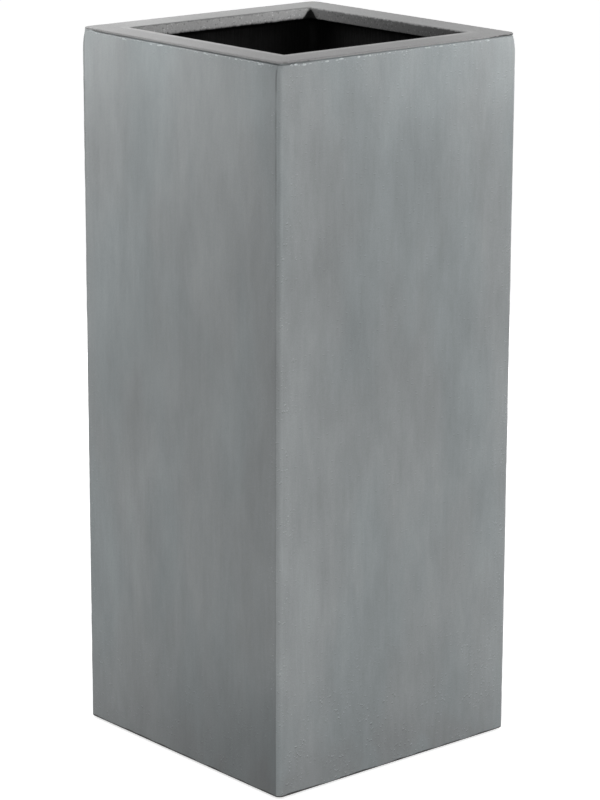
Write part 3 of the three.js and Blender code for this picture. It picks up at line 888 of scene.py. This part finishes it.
def build_beads(paint):
    """Beads of paint along the joint below the rim and in clusters down the upright edges."""
    rng = random.Random(7)
    reach = HALF - 2 * WALL_CORNER_RADIUS
    points = []
    faces = []

    def add(centre, facing, size):
        more, quads = bead(
            centre, facing, size * rng.uniform(0.8, 1.8), size * rng.uniform(0.35, 0.6), BEAD_STANDS_OUT)
        start = len(points)
        points.extend(more)
        faces.extend(tuple(start + corner for corner in quad) for quad in quads)

    for side in range(4):
        for _ in range(BEADS_ALONG_JOINT):
            centre, facing = on_wall(side, rng.uniform(-reach, reach), 0)
            centre.z = LAP_UNDERSIDE - joint_gap(centre) - rng.uniform(0.9, 2.6) * MM
            add(centre, facing, rng.choice((0.6, 0.9, 1.4, 2.2)) * rng.uniform(0.7, 1.3) * MM)
        for _ in range(BEAD_CLUSTERS):
            cluster = rng.uniform(0.05, 0.87)
            for _ in range(BEADS_IN_CLUSTER):
                along = HALF - rng.uniform(1.2, 2.2) * WALL_CORNER_RADIUS
                height = min(cluster + rng.gauss(0, 5) * MM, LAP_UNDERSIDE - 6 * MM)
                centre, facing = on_wall(side, rng.choice((-along, along)), height)
                add(centre, facing, rng.uniform(0.3, 0.7) * MM)
    made = piece("paint_beads", points, faces, [paint], "planter")
    face_normals_fixed(made)


# ---- Pieces inside and underneath ----

def dress_cad_node(name, material, edge):
    """Gives a frame node its finish and smooth shading, and softens its edges by modifiers."""
    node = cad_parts[name]
    node.data.materials.clear()
    node.data.materials.append(material)
    weld = node.modifiers.new("weld", "WELD")
    weld.merge_threshold = 0.01 * MM
    bevel = node.modifiers.new("soft_edges", "BEVEL")
    bevel.width = edge
    bevel.segments = 2
    bevel.limit_method = "ANGLE"
    bevel.angle_limit = math.radians(32)
    bevel.use_clamp_overlap = True
    node.modifiers.new("normals", "WEIGHTED_NORMAL").keep_sharp = True
    for face in node.data.polygons:
        face.use_smooth = True


def screw_outline(head_radius, head_low, tip):
    """Outline of a screw, head down, with close rings over its face and along its thread."""
    seat = head_low + SCREW_HEAD_HEIGHT
    shank = SCREW_DIAMETER / 2
    outline = rounded_outline([
        (0, head_low, 0),
        (head_radius, head_low, SCREW_HEAD_HEIGHT / 2),
        (head_radius, seat, 0),
        (shank, seat, 0),
        (shank, tip - SCREW_POINT_LENGTH, 0),
        (0, tip, 0),
    ])
    dense = filled_in(outline, SCREW_RING)
    return dense[:dense.index(outline[-1]) + 1]


def cut_cross(point, head_low):
    """Presses the cross recess into the face of the head."""
    long_way = max(abs(point.x), abs(point.y))
    short_way = min(abs(point.x), abs(point.y))
    inside = 1 - between(short_way, 0.35 * CROSS_WIDTH, 0.65 * CROSS_WIDTH)
    inside *= 1 - between(long_way, 0.8 * CROSS_LENGTH / 2, CROSS_LENGTH / 2)
    if point.z < head_low + 0.1 * MM:
        point.z += CROSS_DEPTH * inside


def cut_thread(point, thread_low):
    """Narrows the shank between the crests of the thread."""
    radius = math.hypot(point.x, point.y)
    if point.z < thread_low or radius == 0:
        return
    turns = point.z / THREAD_PITCH - math.atan2(point.y, point.x) / (2 * math.pi)
    hollow = (1 - abs(2 * (turns % 1) - 1)) ** 0.5
    depth = THREAD_DEPTH * hollow * between(point.z, thread_low, thread_low + THREAD_PITCH)
    depth = min(depth, 0.4 * radius)
    point.x *= 1 - depth / radius
    point.y *= 1 - depth / radius


def build_screw(corner, steel):
    """Self-tapping foot screw with a cross recess, in the place of the frame's plain one."""
    node = f"foot_screw_{corner}"
    low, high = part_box(node)
    points, faces = turned(screw_outline((high.x - low.x) / 2, low.z, high.z), SCREW_STEPS)
    for point in points:
        cut_cross(point, low.z)
        cut_thread(point, low.z + SCREW_HEAD_HEIGHT + SCREW_NECK)
        point.x += (low.x + high.x) / 2
        point.y += (low.y + high.y) / 2
    made = piece(f"threaded_screw_{corner}", points, faces, [steel], "planter", [node])
    face_normals_fixed(made)


# ---- Stage ----

def build_floor():
    """Pale floor. The camera sees it as white, with the object's shadow."""
    finish = Finish("floor_pale", Base_Color=FLOOR_PALE, Roughness=0.9, Specular_IOR_Level=0.0)
    glow = finish.nodes.new("ShaderNodeEmission")
    glow.inputs["Strength"].default_value = FLOOR_GLOW
    path = finish.nodes.new("ShaderNodeLightPath").outputs
    seen = finish.math("MAXIMUM", path["Is Camera Ray"], path["Is Glossy Ray"])
    seen = finish.math("MAXIMUM", seen, path["Is Transmission Ray"])
    added = finish.nodes.new("ShaderNodeAddShader")
    mixed = finish.nodes.new("ShaderNodeMixShader")
    finish.links.new(glow.outputs[0], added.inputs[0])
    finish.links.new(finish.surface.outputs[0], added.inputs[1])
    finish.links.new(seen, mixed.inputs[0])
    finish.links.new(finish.surface.outputs[0], mixed.inputs[1])
    finish.links.new(added.outputs[0], mixed.inputs[2])
    finish.links.new(mixed.outputs[0], finish.output.inputs["Surface"])
    mesh = bpy.data.meshes.new("floor")
    corners = [
        (-FLOOR_REACH, -FLOOR_REACH, 0),
        (FLOOR_REACH, -FLOOR_REACH, 0),
        (FLOOR_REACH, FLOOR_REACH, 0),
        (-FLOOR_REACH, FLOOR_REACH, 0),
    ]
    mesh.from_pydata(corners, [], [(0, 1, 2, 3)])
    mesh.materials.append(finish.material)
    floor = bpy.data.objects.new("floor", mesh)
    bpy.context.scene.collection.objects.link(floor)


def build_world():
    """White all round to the camera and in reflections, and a plain soft light on the surfaces."""
    world = bpy.data.worlds.new("studio")
    bpy.context.scene.world = world
    world.use_nodes = True
    nodes, links = world.node_tree.nodes, world.node_tree.links
    nodes.clear()
    path = nodes.new("ShaderNodeLightPath").outputs
    seen = path["Is Camera Ray"]
    for other in ("Is Glossy Ray", "Is Transmission Ray"):
        larger = nodes.new("ShaderNodeMath")
        larger.operation = "MAXIMUM"
        links.new(seen, larger.inputs[0])
        links.new(path[other], larger.inputs[1])
        seen = larger.outputs[0]
    strength = nodes.new("ShaderNodeMapRange")
    strength.inputs["To Min"].default_value = AMBIENT
    strength.inputs["To Max"].default_value = 1.0
    links.new(seen, strength.inputs["Value"])
    background = nodes.new("ShaderNodeBackground")
    background.inputs["Color"].default_value = (1, 1, 1, 1)
    links.new(strength.outputs[0], background.inputs["Strength"])
    output = nodes.new("ShaderNodeOutputWorld")
    links.new(background.outputs[0], output.inputs[0])


def soft_lamp(name, place, aim_height, size, power):
    light = bpy.data.lights.new(name, "AREA")
    light.shape = "SQUARE"
    light.size = size
    light.energy = power
    lamp = bpy.data.objects.new(name, light)
    lamp.location = place
    aim = Vector((0, 0, aim_height)) - Vector(place)
    lamp.rotation_euler = aim.to_track_quat("-Z", "Y").to_euler()
    lamp.visible_camera = False
    bpy.context.scene.collection.objects.link(lamp)


def build_lights():
    soft_lamp("left_top", (-0.46, 0.24, 1.17), 0.8, 0.3, 1.5)
    soft_lamp("right_top", (0.3, -0.42, 1.15), 0.8, 0.3, 0.8)
    soft_lamp("far_top", (0.0, 0.4, 1.1), 0.85, 0.2, 0.8)
    soft_lamp("left_side", (-0.9, 0.9, 0.6), 0.5, 0.6, 2.3)
    soft_lamp("right_side", (1.4, -1.2, 1.0), 0.6, 0.9, 7.5)
    soft_lamp("front", (-0.6, -1.9, 0.8), 0.5, 0.9, 11.0)
    soft_lamp("back", (1.6, 1.7, 0.5), 0.5, 0.6, 13.0)


def build_camera():
    """Camera of the photograph."""
    pitch, yaw = CAMERA_PITCH, CAMERA_YAW
    level = math.cos(pitch)
    forward = Vector((math.sin(yaw) * level, math.cos(yaw) * level, -math.sin(pitch)))
    right = Vector((math.cos(yaw), -math.sin(yaw), 0))
    up = right.cross(forward)
    middle = Vector((0, 0, RIM_TOP / 2))
    data = bpy.data.cameras.new("camera")
    data.sensor_width = 36
    data.lens = CAMERA_LENS
    camera = bpy.data.objects.new("camera", data)
    camera.location = (
        middle - forward * CAMERA_DISTANCE + right * CAMERA_AIM_RIGHT + up * CAMERA_AIM_UP)
    rolled_right = right * math.cos(CAMERA_ROLL) + up * math.sin(CAMERA_ROLL)
    rolled_up = up * math.cos(CAMERA_ROLL) - right * math.sin(CAMERA_ROLL)
    camera.rotation_euler = Matrix((rolled_right, rolled_up, -forward)).transposed().to_euler()
    bpy.context.scene.collection.objects.link(camera)
    bpy.context.scene.camera = camera


# ---- The scene ----

build_camera()
zinc = wall_paint()
build_walls(zinc)
build_joint_paint(zinc)
black = black_laminate()
build_lining(black)
build_rim(rim_paint())
build_beads(bead_paint())
dress_cad_node("base_tray", black, 0.8 * MM)
for side in ("front", "back", "left", "right"):
    dress_cad_node(f"shelf_ledge_{side}", black, 0.8 * MM)
dress_cad_node("pot_shelf", black_plastic(), 0.5 * MM)
rubbery = rubber()
dress_cad_node("drain_plug", rubbery, 0.4 * MM)
steel = screw_steel()
for corner in ("front_left", "front_right", "back_right", "back_left"):
    dress_cad_node(f"foot_{corner}", rubbery, 0.4 * MM)
    build_screw(corner, steel)
build_floor()
build_world()
build_lights()
bpy.context.scene.view_settings.view_transform = "Standard"
